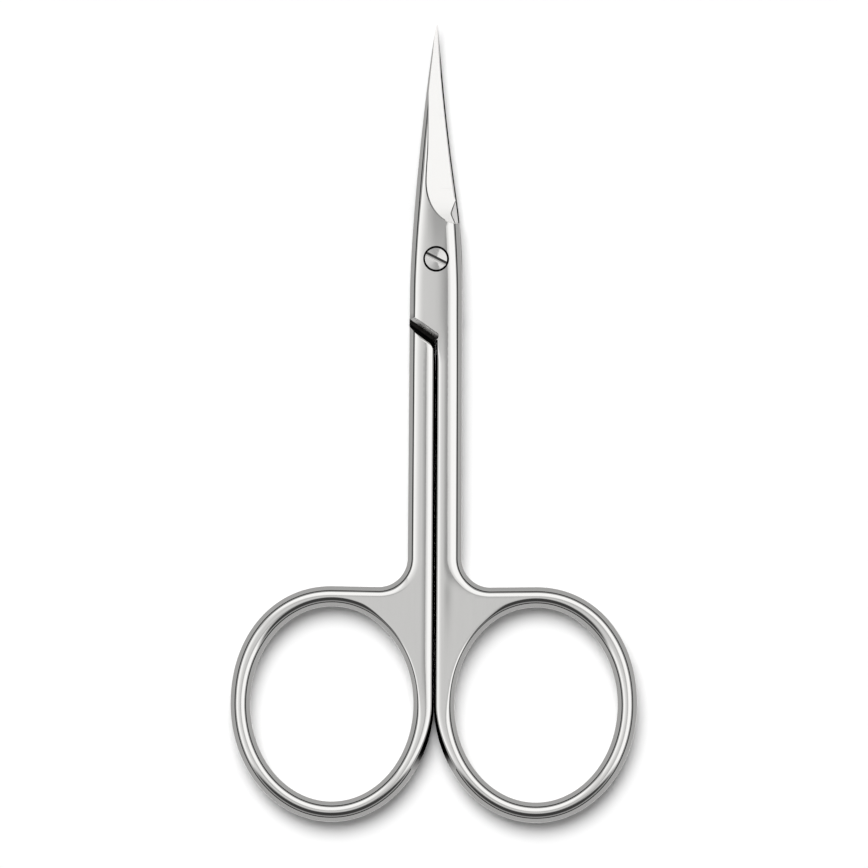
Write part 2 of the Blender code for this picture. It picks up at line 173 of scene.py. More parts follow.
NOTCH_RISE = 0.2 * MM           # height over which its side leans
NOTCH_OUT_Y = 4.1 * MM

# Screw
SCREW_CLEARANCE = 0.05 * MM
HEAD_RADIUS = 1.34 * MM
HEAD_HEIGHT = 0.85 * MM
HEAD_CHAMFER = 0.04 * MM
COUNTERBORE_RADIUS = 1.56 * MM
BEARING_RADIUS = 1.0 * MM
THREAD_RADIUS = 0.8 * MM
SLOT_WIDTH = 0.56 * MM
SLOT_DEPTH = 0.2 * MM
SLOT_SAG = 0.045 * MM           # its floor is hollow
SLOT_LEAN = 0.042 * MM          # and higher along its upper side
HEAD_CONE = 0.05                # slopes of the turned head: round its middle, and as it sits
HEAD_TILT = (0.042, -0.01)
HEAD_POINT = 0.02 * MM
SLOT_EDGE_SHARE = 0.3           # broken lower edge of the slot, over half its width
SLOT_ANGLE = math.radians(-26.6)

# Fineness
OVERRUN = 2.0 * MM
RING_STEPS = 180
HOLE_STEPS = 220
CURVE_STEPS = 40
CORNER_STEPS = 10
SIDE_ROUND_STEPS = 4
SHOULDER_STEPS = 14
SHOULDER_SPREAD = 1.5           # crowds a shoulder's steps towards its bevel
ROUND_STEPS = 96
NET_SPACING = (0.2 * MM, 0.5 * MM)
NET_MARGIN = 0.09 * MM          # the net of points keeps this far from the outlines
NET_REACH = (8.0 * MM, -56.0 * MM)
NET_TOLERANCE = 1e-9
RIM_SPACING = 1.0 * MM          # longest piece of rim beside the net
LAP_LEVELS = 2                  # levels of a section that the blade's taper leaves in place
MITRE_LIMIT = 2.0               # most that an inset grows where a rim turns
LEAST_RISE = 0.002 * MM         # keeps the levels of a thin section apart
FIRST_TURN = math.radians(20)   # where the search for a shoulder's slope starts
SLOPE_ROUNDS = 30
BEVEL_SHARES = (0.08, 0.5, 0.9, 1.0)
INNER_LEAST_ANGLE = BEVEL_ANGLE + math.radians(0.01)  # a steeper bevel is a facing side's
INNER_LEVELS = LAP_LEVELS + SIDE_ROUND_STEPS + len(BEVEL_SHARES)
EDGE_LEVEL_COUNT = 4            # faces of the painted dark line on top of each bevel, a painted reflection
EDGE_LEVELS = range(INNER_LEVELS - 1, INNER_LEVELS - 1 + EDGE_LEVEL_COUNT)
SMOOTH_ANGLE = math.radians(30)
STEEP = 0.5                     # a wall's normal has less of Z than this
LARGEST_HOLE = 12               # sides of a hole that is closed
INWARD_SHARE = 0.02             # a corner's shading is looked up this far inside its face
LEAST_AGREEMENT = 0.6           # between a corner's shading and its face

# A point of an outline, with the runs of its bevel and its shoulder, the bevel's angle, the run of the edge
# broken at the parting plane (below 0 it is a ridge), and the shoulder's run underneath, if another one
Rim = namedtuple("Rim", "x y wall shoulder angle lap under", defaults=(BEVEL_ANGLE, 0.0, None))
Half = namedtuple("Half", "name low_handle tip_handle hole_radius counterbored")

UPPER = Half("upper_half", SPINE_LOW_HANDLE, (SPINE_TIP_HANDLE_X, SPINE_TIP_HANDLE_SHARE * BLADE_REACH),
             BEARING_RADIUS + SCREW_CLEARANCE, True)
LOWER = Half("lower_half", LOWER_SPINE_LOW_HANDLE,
             (LOWER_SPINE_TIP_HANDLE_X, LOWER_SPINE_TIP_HANDLE_SHARE * BLADE_REACH),
             THREAD_RADIUS + SCREW_CLEARANCE, False)


# Plane curves

def bezier(start, handle_a, handle_b, end, steps):
    points = []
    for step in range(steps + 1):
        t = step / steps
        weights = ((1 - t) ** 3, 3 * (1 - t) ** 2 * t, 3 * (1 - t) * t ** 2, t ** 3)
        knots = (start, handle_a, handle_b, end)
        points.append(tuple(sum(w * knot[axis] for w, knot in zip(weights, knots)) for axis in (0, 1)))
    return points


def arc(centre, radius, first, last, steps):
    angles = [first + (last - first) * step / steps for step in range(steps + 1)]
    return [(centre[0] + radius * math.cos(a), centre[1] + radius * math.sin(a)) for a in angles]


def rounded_corner(before, corner, after, radius, steps):
    """The arc that rounds a corner of a polygon."""
    corner = Vector(corner)
    towards_before = (Vector(before) - corner).normalized()
    towards_after = (Vector(after) - corner).normalized()
    half_angle = towards_before.angle(towards_after) / 2
    middle = (towards_before + towards_after).normalized()
    centre = corner + middle * (radius / math.sin(half_angle))
    reach = radius / math.tan(half_angle)
    start = (corner + towards_before * reach - centre).normalized()
    end = (corner + towards_after * reach - centre).normalized()
    return [tuple(centre + start.slerp(end, step / steps) * radius) for step in range(steps + 1)]


def oval(centre, half_width, half_length, angle, exponent=2.0):
    across, along = math.cos(angle), math.sin(angle)
    power = 2.0 / exponent
    return (centre[0] + half_width * math.copysign(abs(across) ** power, across),
            centre[1] + half_length * math.copysign(abs(along) ** power, along))


def smooth_share(value, start, end):
    """0 at start and 1 at end, with a smooth run between."""
    share = min(1.0, max(0.0, (value - start) / (end - start)))
    return share * share * (3 - 2 * share)


def mix(a, b, share):
    return a + (b - a) * share


# The outline of one half at the parting plane, anticlockwise

def ring_rim():
    rim = []
    for step in range(RING_STEPS + 1):
        turn = step / RING_STEPS
        angle = math.radians(180 + 270 * turn)
        exponent = 2.0 * RING_FULLNESS_SHARE if angle > math.tau else 2.0
        x, y = oval((RING_CENTRE_X, RING_CENTRE_Y), RING_HALF_WIDTH, RING_HALF_LENGTH, angle, exponent)
        opening = smooth_share(turn, 0.0, RING_OPENING_SHARE)
        rim.append(Rim(x, y, mix(INNER_DRAFT, RING_DRAFT, opening),
                       mix(INNER_SHOULDER, RING_SHOULDER, opening),
                       mix(INNER_ANGLE, BEVEL_ANGLE, opening), mix(-INNER_RIDGE, 0.0, opening)))
    return rim


def fillet_centre():
    level = RING_CENTRE_Y + RING_HALF_LENGTH - WEB_SADDLE + FILLET_RADIUS
    return (SHANK_HALF_WIDTH + FILLET_RADIUS, level)


def fillet_rim():
    points = arc(fillet_centre(), FILLET_RADIUS, math.radians(270), math.radians(180), CURVE_STEPS)
    rim = []
    for step, (x, y) in enumerate(points):
        share = smooth_share(step / CURVE_STEPS, 0.0, FILLET_WIDE_SHARE)
        rim.append(Rim(x, y, mix(RING_DRAFT, SIDE_DRAFT, share), mix(RING_SHOULDER, SHANK_SHOULDER, share)))
    return rim


def spine_curve(low_handle, tip_handle):
    start = (-PLATE_HALF_WIDTH, PLATE_SHOULDER_Y)
    end = (-TIP_WIDTH / 2, BLADE_REACH)
    handle = (-PLATE_HALF_WIDTH, PLATE_SHOULDER_Y + low_handle)
    return bezier(start, handle, tip_handle, end, 2 * CURVE_STEPS)


def edge_curve():
    handle = (EDGE_TIP_HANDLE_X, EDGE_TIP_HANDLE_SHARE * BLADE_REACH)
    return bezier(EDGE_START, EDGE_LOW_HANDLE, handle, (TIP_WIDTH / 2, BLADE_REACH), CURVE_STEPS)


def plate_side_rim():
    spine = spine_curve(UPPER.low_handle, UPPER.tip_handle)
    count = round(PLATE_SIDE_SHARE * len(spine))
    return [Rim(-x, y, SIDE_DRAFT, SIDE_SHOULDER) for x, y in spine[:count + 1]]


def edge_rim():
    return [Rim(x, y, SHARP, SHARP) for x, y in [HEEL] + edge_curve()]


def edge_x_at(y):
    points = edge_curve()
    lean = (EDGE_START[0] - EDGE_LOW_HANDLE[0]) / (EDGE_LOW_HANDLE[1] - EDGE_START[1])
    if y < EDGE_START[1]:
        return EDGE_START[0] + lean * (EDGE_START[1] - y)
    return float(np.interp(y, [p[1] for p in points], [p[0] for p in points]))


def spine_rim(half):
    rim = []
    for x, y in reversed(spine_curve(half.low_handle, half.tip_handle)):
        width = edge_x_at(y) - x
        wall = min(SIDE_DRAFT, SPINE_DRAFT + SPINE_DRAFT_SHARE * width, SPINE_DRAFT_LIMIT_SHARE * width)
        shoulder = min(SIDE_SHOULDER, SPINE_SHOULDER_SHARE * width)
        lap = min(LAP_BEVEL, LAP_BEVEL_SHARE * width)
        rim.append(Rim(x, y, wall, shoulder, BEVEL_ANGLE, lap))
    return rim


def slanted_end():
    """Ends of the plate's slanted line: at its outer side and at the shank's inner side."""
    fall = (PLATE_HALF_WIDTH + HALF_GAP) * math.tan(LAP_END_ANGLE)
    return (-PLATE_HALF_WIDTH, LAP_END_Y), (HALF_GAP, LAP_END_Y - fall)


def lap_end_rim():
    """Blanked end of the plate, and the start of the shank's inner side, where its shoulder grows."""
    level = slanted_end()[1][1] - END_MARGIN
    rim = [Rim(-PLATE_HALF_WIDTH, level, SIDE_DRAFT, SIDE_SHOULDER, BEVEL_ANGLE, LAP_BEVEL),
           Rim(-PLATE_HALF_WIDTH / 2, level, SHARP, SHARP)]
    for step in range(CORNER_STEPS + 1):
        share = smooth_share(step / CORNER_STEPS, 0.0, 1.0)
        y = level - INNER_START_RUN * step / CORNER_STEPS
        under = INNER_SHOULDER + INNER_FLARE * (1 - step / CORNER_STEPS) ** INNER_FLARE_POWER
        rim.append(Rim(HALF_GAP, y, INNER_DRAFT, mix(SHARP, INNER_SHOULDER, share), INNER_ANGLE,
                       -INNER_RIDGE * share, under))
    return rim


def between(a, b, share):
    """A rim point between two others."""
    values = [mix(first, last, share) for first, last in zip(a[:-1], b[:-1])]
    under = None
    if a.under is not None or b.under is not None:
        under = mix(a.under or a.shoulder, b.under or b.shoulder, share)
    return Rim(*values, under)


def half_rim(half):
    rim = ring_rim() + fillet_rim() + plate_side_rim() + edge_rim() + spine_rim(half) + lap_end_rim()
    close = []
    for index, point in enumerate(rim):
        following = rim[(index + 1) % len(rim)]
        steps = 1
        if min(point.x, following.x) > 0:
            steps = math.ceil(math.dist(point[:2], following[:2]) / RIM_SPACING)
        close += [point] + [between(point, following, step / steps) for step in range(1, steps)]
    return close


def hole_rim():
    rim = []
    for step in range(HOLE_STEPS):
        angle = -math.tau * step / HOLE_STEPS
        x, y = oval((RING_CENTRE_X, RING_CENTRE_Y), HOLE_WIDTH / 2, HOLE_LENGTH / 2, angle)
        web = smooth_share(math.cos(angle - WEB_ANGLE), *WEB_SPREAD)
        rim.append(Rim(x, y, RING_DRAFT, mix(RING_SHOULDER, WEB_SHOULDER, web)))
    return rim


# Solids

def inset_normals(rim):
    """Direction into the metal at each point of a rim, longer where the rim turns."""
    normals = []
    for index, point in enumerate(rim):
        here = Vector(point[:2])
        arriving = (here - Vector(rim[index - 1][:2])).normalized().orthogonal()
        leaving = (Vector(rim[(index + 1) % len(rim)][:2]) - here).normalized().orthogonal()
        normal = (arriving + leaving).normalized()
        normals.append(normal * min(1 / normal.dot(leaving), MITRE_LIMIT))
    return normals


def shoulder_curve(run, rise, slope):
    """Quarter of an ellipse that starts at the bevel's slope and ends level: (run, height) points."""
    start = FIRST_TURN
    for _ in range(SLOPE_ROUNDS):
        across, up = run / math.cos(start), rise / (1 - math.sin(start))
        start = math.atan(up / across / slope)
    points = []
    for step in range(1, SHOULDER_STEPS + 1):
        turn = mix(start, math.radians(90), (step / SHOULDER_STEPS) ** SHOULDER_SPREAD)
        points.append((across * (math.cos(start) - math.cos(turn)), up * (math.sin(turn) - math.sin(start))))
    return points


def section(point, shoulder):
    """Run and height of each level over the parting plane: side, bevel and shoulder."""
    rise = min(SHOULDER_RISE, SHOULDER_RISE_SHARE * shoulder)
    slope = math.tan(point.angle)
    bevel_top = HALF_THICKNESS - rise
    corner = bevel_top - point.wall * slope
    size = min(SIDE_ROUND, point.wall / 2)
    levels = [(point.lap, 0.0), (0.0, LEAST_RISE + abs(point.lap) * LAP_BEVEL_SLOPE)]
    for step in range(SIDE_ROUND_STEPS + 1):
        t = step / SIDE_ROUND_STEPS
        levels.append((size * t * t, corner - size * (1 - t) ** 2 + size * slope * t * t))
    for share in BEVEL_SHARES:
        levels.append((mix(size, point.wall, share), mix(corner + size * slope, bevel_top, share)))
    curve = shoulder_curve(shoulder, rise, slope)
    return levels + [(point.wall + run, bevel_top + up) for run, up in curve]


def swell(run):
    """Height lost over a run on which the slope grows to its full value and dies out again."""
    rising = min(max(run, 0.0), SWELL_RUN)
    falling = min(max(run - SWELL_RUN, 0.0), SWELL_RUN)
    return SWELL_SLOPE * (rising ** 2 / 2 / SWELL_RUN + falling - falling ** 2 / 2 / SWELL_RUN)


def side_distance(x, y):
    """How far a point of the shank or web lies from the outer side, round the fillet."""
    centre = fillet_centre()
    if y >= centre[1]:
        return SHANK_HALF_WIDTH - x
    return math.hypot(min(x - centre[0], 0.0), y - centre[1]) - FILLET_RADIUS


def drop(x, y, side):
    """How far the crown, a shank's swell and the blade's taper lie under the full thickness."""
    inner = min(abs(x), PLATE_CROWN_REACH)
    plate = smooth_share(y, *PLATE_CROWN_FADE)
    crown = inner * (abs(x) - inner / 2) / PLATE_CROWN_RADIUS * plate
    if side > 0:
        straight = swell(x - SHANK_HALF_WIDTH + SWELL_REACH) * smooth_share(y, *SWELL_FADE)
        curved = swell(SWELL_REACH - side_distance(x, y))
        shank = mix(straight, curved, smooth_share(y, *FILLET_SWELL_FADE)) * (1 - plate)
    else:
        shank = swell(UNDER_SWELL_RIDGE - x) * smooth_share(y, *UNDER_SWELL_FADE)
    along = max(0.0, y - TAPER_START_Y) / (BLADE_REACH - TAPER_START_Y)
    return crown + shank + (HALF_THICKNESS - TIP_THICKNESS) * along ** TAPER_POWER


def rim_column(point, normal, shoulder, side):
    """Points over one rim point, from the parting plane to one side of the blank."""
    column = []
    for level, (run, height) in enumerate(section(point, shoulder)):
        place = Vector(point[:2]) + normal * run
        if level < LAP_LEVELS:
            z = height
        else:
            z = max(height - drop(*place, side), abs(point.lap) * LAP_BEVEL_SLOPE + level * LEAST_RISE)
        column.append(Vector((place.x, place.y, side * z)))
    return column


def rim_loops(rim):
    """Loops of points from the underside to the top."""
    columns = []
    for point, normal in zip(rim, inset_normals(rim)):
        under = point.shoulder if point.under is None else point.under
        lower = rim_column(point, normal, under, -1)
        columns.append(lower[:0:-1] + rim_column(point, normal, point.shoulder, 1))
    return list(zip(*columns))


def bridge(bm, loop_a, loop_b):
    faces = []
    for index in range(len(loop_a)):
        following = (index + 1) % len(loop_a)
        faces.append(bm.faces.new((loop_a[index], loop_a[following], loop_b[following], loop_b[index])))
    return faces


def cap(bm, loops, side):
    """Fills the flat between the innermost loops, with a net of points where it isn't flat."""
    outline = [vertex for loop in loops for vertex in loop]
    points = [Vector(vertex.co[:2]) for vertex in outline]
    edges, start = [], 0
    for loop in loops:
        edges += [(start + i, start + (i + 1) % len(loop)) for i in range(len(loop))]
        start += len(loop)
    outer = np.array([vertex.co[:2] for vertex in loops[0]])
    hole = np.array([vertex.co[:2] for vertex in loops[1]])
    for x in np.arange(-PLATE_HALF_WIDTH, NET_REACH[0], NET_SPACING[0]):
        for y in np.arange(NET_REACH[1], BLADE_REACH, NET_SPACING[1]):
            if inside(outer, x, y) and clear_of(outer, x, y) and clear_of(hole, x, y):
                points.append(Vector((x, y)))
    made, _, faces, origins, _, _ = delaunay_2d_cdt(points, edges, [], 1, NET_TOLERANCE)
    vertices = {}
    for index, point in enumerate(made):
        source = min(origins[index], default=len(outline))
        if source < len(outline):
            vertices[index] = outline[source]
        else:
            vertices[index] = bm.verts.new((point.x, point.y, side * (HALF_THICKNESS - drop(*point, side))))
    for face in faces:
        centre = sum((made[i] for i in face), Vector((0, 0))) / len(face)
        if not inside(hole, *centre) and inside(outer, *centre):
            corners = [vertices[i] for i in face]
            bm.faces.new(corners if side > 0 else corners[::-1])


def inside(outline, x, y):
    """Whether a point lies inside a closed outline."""
    ax, ay = outline[:, 0], outline[:, 1]
    bx, by = np.roll(ax, -1), np.roll(ay, -1)
    crosses = (ay > y) != (by > y)
    with np.errstate(divide="ignore", invalid="ignore"):
        reach = ax + (y - ay) * (bx - ax) / (by - ay)
    return bool(np.count_nonzero(crosses & (x < reach)) % 2)


def clear_of(outline, x, y):
    """Whether a point keeps its distance from a closed outline."""
    sides = np.roll(outline, -1, axis=0) - outline
    arms = np.array((x, y)) - outline
    shares = np.clip((arms * sides).sum(axis=1) / (sides ** 2).sum(axis=1), 0, 1)
    gaps = arms - sides * shares[:, None]
    return bool(np.hypot(gaps[:, 0], gaps[:, 1]).min() > NET_MARGIN)


def finish_at(level, point):
    """Number of the blank's material at a level of a rim point: polished, the facing sides' painted shade, or
    the painted dark line along each bevel's top and the broken edge at the parting plane.
    """
    if level < INNER_LEVELS and point.angle > INNER_LEAST_ANGLE:
        return 1
    on_painted_lap_line = level == 0 and point.lap > 0
    on_painted_edge_line = level in EDGE_LEVELS and point.angle <= INNER_LEAST_ANGLE and point.wall > SHARP
    return 2 if on_painted_lap_line or on_painted_edge_line else 0


def blank_mesh(name, half):
    bm = bmesh.new()
    ends = ([], [])
    for rim in (half_rim(half), hole_rim()):
        loops = [[bm.verts.new(p) for p in loop] for loop in rim_loops(rim)]
        middle = len(loops) // 2
        for index, (below, above) in enumerate(zip(loops, loops[1:])):
            level = index - middle if index >= middle else middle - 1 - index
            for step, face in enumerate(bridge(bm, below, above)):
                face.material_index = finish_at(level, rim[step])
        ends[0].append(loops[0])
        ends[1].append(loops[-1])
    cap(bm, ends[0], -1)
    cap(bm, ends[1], 1)
    bmesh.ops.triangulate(bm, faces=bm.faces)
    bmesh.ops.recalc_face_normals(bm, faces=bm.faces)
    return finished_mesh(name, bm)


def finished_mesh(name, bm):
    mesh = bpy.data.meshes.new(name)
    bm.to_mesh(mesh)
    bm.free()
    mesh.shade_smooth()
    return mesh


def loft_mesh(name, sections):
    bm = bmesh.new()
    loops = [[bm.verts.new(p) for p in section] for section in sections]
    for below, above in zip(loops, loops[1:]):
        bridge(bm, below, above)
    bm.faces.new(loops[0])
    bm.faces.new(loops[-1])
    bmesh.ops.triangulate(bm, faces=bm.faces)
    bmesh.ops.recalc_face_normals(bm, faces=bm.faces)
    return finished_mesh(name, bm)


def turned_mesh(name, profile):
    sections = []
    for radius, z in profile:
        angles = [math.tau * step / ROUND_STEPS for step in range(ROUND_STEPS)]
        sections.append([(radius * math.cos(a), radius * math.sin(a), z) for a in angles])
    return loft_mesh(name, sections)


# Cutters

def lap_cutter_mesh(name):
    slope = math.tan(LAP_END_ANGLE)
    step_y = LAP_END_Y - STEP_GAP / math.cos(LAP_END_ANGLE)
    far_x = PLATE_HALF_WIDTH + OVERRUN
    outer = (far_x, step_y + OVERRUN * slope)
    inner = (HALF_GAP, step_y - (PLATE_HALF_WIDTH - HALF_GAP) * slope)
    below = (HALF_GAP, inner[1] - OVERRUN)
    corner = rounded_corner(outer, inner, below, STEP_CORNER_RADIUS, CORNER_STEPS)
    top_y = BLADE_REACH + OVERRUN
    plan = [outer] + corner[:-1] + [(-OVERRUN, below[1]), (-far_x, below[1]), (-far_x, top_y), (far_x, top_y)]
    levels = [(LAP_FACE, 0.0)]
    for step in range(CORNER_STEPS + 1):
        angle = STEP_ROUND_TURN * step / CORNER_STEPS
        z = STEP_ROUND * (1 - math.sin(angle)) - HALF_THICKNESS
        levels.append((z, STEP_ROUND * (1 - math.cos(angle))))
    levels.append((-THICKNESS, 2 * STEP_ROUND))
    sections = []
    for z, rounding in levels:
        run = rounding + STEP_DRAFT * (LAP_FACE - z) / (HALF_THICKNESS + LAP_FACE)
        shift = (run * math.sin(LAP_END_ANGLE), -run * math.cos(LAP_END_ANGLE))
        sections.append([(x + shift[0], y + shift[1], z) for x, y in plan])
    mesh = loft_mesh(name, sections)
    for face in mesh.polygons:
        face.material_index = int(face.center.z < STEP_ROUND - HALF_THICKNESS)
    return mesh


def end_cutter_mesh(name):
    """Cuts the plate to its slanted end, with a bevel that dies out round the corner."""
    outer, inner = (Vector(p) for p in slanted_end())
    along = (inner - outer).normalized()
    outer -= along * OVERRUN
    below = inner - Vector((0, OVERRUN))
    corner = [Vector(p) for p in rounded_corner(outer, inner, below, LAP_CORNER_RADIUS, CORNER_STEPS)]
    normal = Vector((-along.y, along.x))
    centre = corner[0] - normal * LAP_CORNER_RADIUS
    far = Vector((outer.x, below.y))
    plan = [outer] + corner + [below - Vector((SHARP, 0)), far]
    leans = [normal]
    leans += [(p - centre).normalized() * (1 - step / CORNER_STEPS) for step, p in enumerate(corner)]
    leans += [Vector((0, 0)), Vector((0, 0))]
    bevel_top = HALF_THICKNESS - SHOULDER_RISE
    bevel_foot = bevel_top - END_DRAFT * math.tan(BEVEL_ANGLE)
    full_run = END_DRAFT + END_LEAN
    sections = []
    for z, run in ((-THICKNESS, 0.0), (bevel_foot, 0.0), (bevel_top, END_DRAFT),
                   (HALF_THICKNESS, full_run), (THICKNESS, full_run + END_LEAN)):
        sections.append([(*(p + lean * run), z) for p, lean in zip(plan, leans)])
    return loft_mesh(name, sections)


def ground_height(x, y):
    rise_share = mix(GRIND_LOW_SHARE, GRIND_RISE_SHARE, smooth_share(y, *GRIND_FADE))
    return LAP_FACE + EDGE_LAND + rise_share * (edge_x_at(y) - x)


def grind_section(outer, inner):
    far_x = PLATE_HALF_WIDTH + OVERRUN
    return [
        (outer[0], outer[1], THICKNESS),
        (outer[0], outer[1], HALF_THICKNESS),
        (inner[0], inner[1], ground_height(*inner)),
        (edge_x_at(inner[1]), inner[1], LAP_FACE + EDGE_LAND),
        (far_x, inner[1], ground_height(far_x, inner[1])),
        (far_x, outer[1], THICKNESS),
    ]


def grind_cutter_mesh(name):
    sections = []
    for step in range(1, CURVE_STEPS + 1):
        angle = math.radians(270 - 90 * step / CURVE_STEPS)
        outer = oval(PLUNGE_CENTRE, PLUNGE_HALF_WIDTH, PLUNGE_HALF_LENGTH, angle)
        draft = mix(PLUNGE_DRAFT, RIDGE_DRAFT, step / CURVE_STEPS)
        inner = oval(PLUNGE_CENTRE, PLUNGE_HALF_WIDTH - draft, PLUNGE_HALF_LENGTH - draft, angle)
        sections.append(grind_section(outer, inner))
    left = PLUNGE_CENTRE[0] - PLUNGE_HALF_WIDTH
    length = BLADE_REACH + OVERRUN - PLUNGE_CENTRE[1]
    for step in range(1, CURVE_STEPS + 1):
        y = PLUNGE_CENTRE[1] + length * step / CURVE_STEPS
        x = left + PLUNGE_LEAN * smooth_share(y, PLUNGE_CENTRE[1], PLUNGE_LEAN_Y)
        sections.append(grind_section((x, y), (x + RIDGE_DRAFT, y)))
    return loft_mesh(name, sections)


def notch_cutter_mesh(name):
    far_x = PLATE_HALF_WIDTH + OVERRUN
    corner = rounded_corner(NOTCH_FOOT, NOTCH_FLOOR, HEEL, NOTCH_ROUND, CORNER_STEPS)
    inner = [NOTCH_FOOT] + corner + [HEEL]
    sections = []
    for z, run in ((-THICKNESS, 0.0), (0.0, 0.0), (NOTCH_RISE, NOTCH_DRAFT), (THICKNESS, NOTCH_DRAFT)):
        plan = [(x - run, y) for x, y in inner] + [(far_x, HEEL[1]), (far_x, NOTCH_OUT_Y)]
        sections.append([(x, y, z) for x, y in plan])
    return loft_mesh(name, sections)


def bore_cutter_mesh(name, half):
    radius = half.hole_radius
    profile = [(radius, -THICKNESS), (radius, THICKNESS)]
    if half.counterbored:
        floor = HALF_THICKNESS - HEAD_HEIGHT - SCREW_CLEARANCE
        profile = [(radius, -THICKNESS), (radius, floor), (COUNTERBORE_RADIUS, floor),
                   (COUNTERBORE_RADIUS, THICKNESS)]
    return turned_mesh(name, profile)


# Cutting and shading

def add_object(name, data):
    item = bpy.data.objects.new(name, data)
    bpy.context.scene.collection.objects.link(item)
    return item


def cut_mesh(name, blank, cutters):
    """The blank after its cutters, each cut face with its cutter's material."""
    item = add_object(name, blank)
    tools = []
    for mesh in cutters:
        tool = add_object(mesh.name, mesh)
        modifier = item.modifiers.new(mesh.name, "BOOLEAN")
        modifier.operation = "DIFFERENCE"
        modifier.solver = "EXACT"
        modifier.material_mode = "TRANSFER"
        modifier.object = tool
        tools.append(tool)
    graph = bpy.context.evaluated_depsgraph_get()
    mesh = bpy.data.meshes.new_from_object(item.evaluated_get(graph))
    for thing in tools + [item]:
        bpy.data.objects.remove(thing)
    return mesh


def close_holes(mesh):
    """Closes what the cuts leave open where the blade's faces meet at its tip."""
    bm = bmesh.new()
    bm.from_mesh(mesh)
    bmesh.ops.holes_fill(bm, edges=[edge for edge in bm.edges if edge.is_boundary], sides=LARGEST_HOLE)
    bm.to_mesh(mesh)
    bm.free()


def source_of(mesh):
    """What a cut face's shading is read from: its uncut surface, as smooth as that was."""
    mesh.shade_smooth()
    mesh.set_sharp_from_angle(angle=SMOOTH_ANGLE)
    corners = [Vector(c.vector) for c in mesh.corner_normals]
    points = [v.co.copy() for v in mesh.vertices]
    faces = [tuple(p.vertices) for p in mesh.polygons]
    starts = [p.loop_start for p in mesh.polygons]
    return BVHTree.FromPolygons(points, faces), points, faces, starts, corners


def shading_at(source, point, towards):
    """Normal of the uncut surface at a corner of a cut face."""
    tree, points, faces, starts, corners = source
    place, _, index, _ = tree.find_nearest(point.lerp(towards, INWARD_SHARE))
    face = faces[index]
    near, _, _, _ = tree.find_nearest(point)
    weights = poly_3d_calc([points[i] for i in face], place if near is None else near)
    normal = Vector((0, 0, 0))
    for step, weight in enumerate(weights):
        normal += corners[starts[index] + step] * weight
    return normal.normalized()


def keep_shading(mesh, uncut_surfaces):
    """Shades the faces of some materials as an uncut surface was, and the others by their angles."""
    mesh.shade_smooth()
    mesh.set_sharp_from_angle(angle=SMOOTH_ANGLE)
    normals = [Vector(c.vector) for c in mesh.corner_normals]
    for uncut, side, kept in uncut_surfaces:
        source = source_of(uncut)
        for face in mesh.polygons:
            if mesh.materials[face.material_index] not in kept:
                continue
            for loop in face.loop_indices:
                corner = mesh.vertices[mesh.loops[loop].vertex_index].co
                normal = side * shading_at(source, corner, face.center)
                if normal.dot(face.normal) > LEAST_AGREEMENT:
                    normals[loop] = normal
    mesh.normals_split_custom_set(normals)


# Materials

class Nodes:
    """Builds sums in a node tree."""

    def __init__(self, tree):
        self.tree = tree

    def math(self, operation, *values):
        node = self.tree.nodes.new("ShaderNodeMath")
        node.operation = operation
        for socket, value in zip(node.inputs, values):
            if isinstance(value, (int, float)):
                socket.default_value = value
            else:
                self.tree.links.new(value, socket)
        return node.outputs[0]

    def ramp(self, value, start, end, low=0.0, high=1.0):
        node = self.tree.nodes.new("ShaderNodeMapRange")
        node.interpolation_type = "SMOOTHSTEP"
        self.tree.links.new(value, node.inputs["Value"])
        for name, number in (("From Min", start), ("From Max", end), ("To Min", low), ("To Max", high)):
            socket = node.inputs[name]
            if isinstance(number, (int, float)):
                socket.default_value = number
            else:
                self.tree.links.new(number, socket)
        return node.outputs["Result"]

    def mix(self, share, a, b):
        """a where share is 0 and b where it is 1."""
        difference = self.math("SUBTRACT", b, a)
        return self.math("ADD", a, self.math("MULTIPLY", share, difference))


def new_material(name):
    material = bpy.data.materials.new(name)
    material.use_nodes = True
    return material, material.node_tree, material.node_tree.nodes["Principled BSDF"]


def steel_material(name, colour, roughness, grain):
    """Steel with fine working lines; grain is how many lines there are in a metre along X, Y and Z."""
    material, tree, shader = new_material(name)
    calc = Nodes(tree)
    place = tree.nodes.new("ShaderNodeTexCoord")
    stretch = tree.nodes.new("ShaderNodeMapping")
    stretch.inputs["Scale"].default_value = grain
    lines = tree.nodes.new("ShaderNodeTexNoise")
    lines.inputs["Scale"].default_value = 1.0
    lines.inputs["Detail"].default_value = LINE_DETAIL
    bump = tree.nodes.new("ShaderNodeBump")
    bump.inputs["Strength"].default_value = 1.0
    bump.inputs["Distance"].default_value = LINE_DEPTH
    tree.links.new(place.outputs["Object"], stretch.inputs["Vector"])
    tree.links.new(stretch.outputs["Vector"], lines.inputs["Vector"])
    tree.links.new(lines.outputs["Fac"], bump.inputs["Height"])
    tree.links.new(bump.outputs["Normal"], shader.inputs["Normal"])
    spread = ROUGHNESS_SPREAD * roughness
    rough = calc.ramp(lines.outputs["Fac"], *LINE_RANGE, roughness - spread, roughness + spread)
    tree.links.new(rough, shader.inputs["Roughness"])
    shader.inputs["Metallic"].default_value = 1.0
    shader.inputs["Base Color"].default_value = (*colour, 1.0)
    return material


def place_of(tree):
    """X and Y of a point in its own object."""
    place = tree.nodes.new("ShaderNodeTexCoord")
    split = tree.nodes.new("ShaderNodeSeparateXYZ")
    tree.links.new(place.outputs["Object"], split.inputs[0])
    return split.outputs["X"], split.outputs["Y"]


def shade_socket(tree, name, share, dark, light):
    """Colours a socket of the shader: dark where share is 0 and light where it is 1."""
    shade = tree.nodes.new("ShaderNodeMix")
    shade.data_type = "RGBA"
    tree.links.new(share, shade.inputs["Factor"])
    shade.inputs["A"].default_value = (*dark, 1.0)
    shade.inputs["B"].default_value = (*light, 1.0)
    tree.links.new(shade.outputs["Result"], tree.nodes["Principled BSDF"].inputs[name])


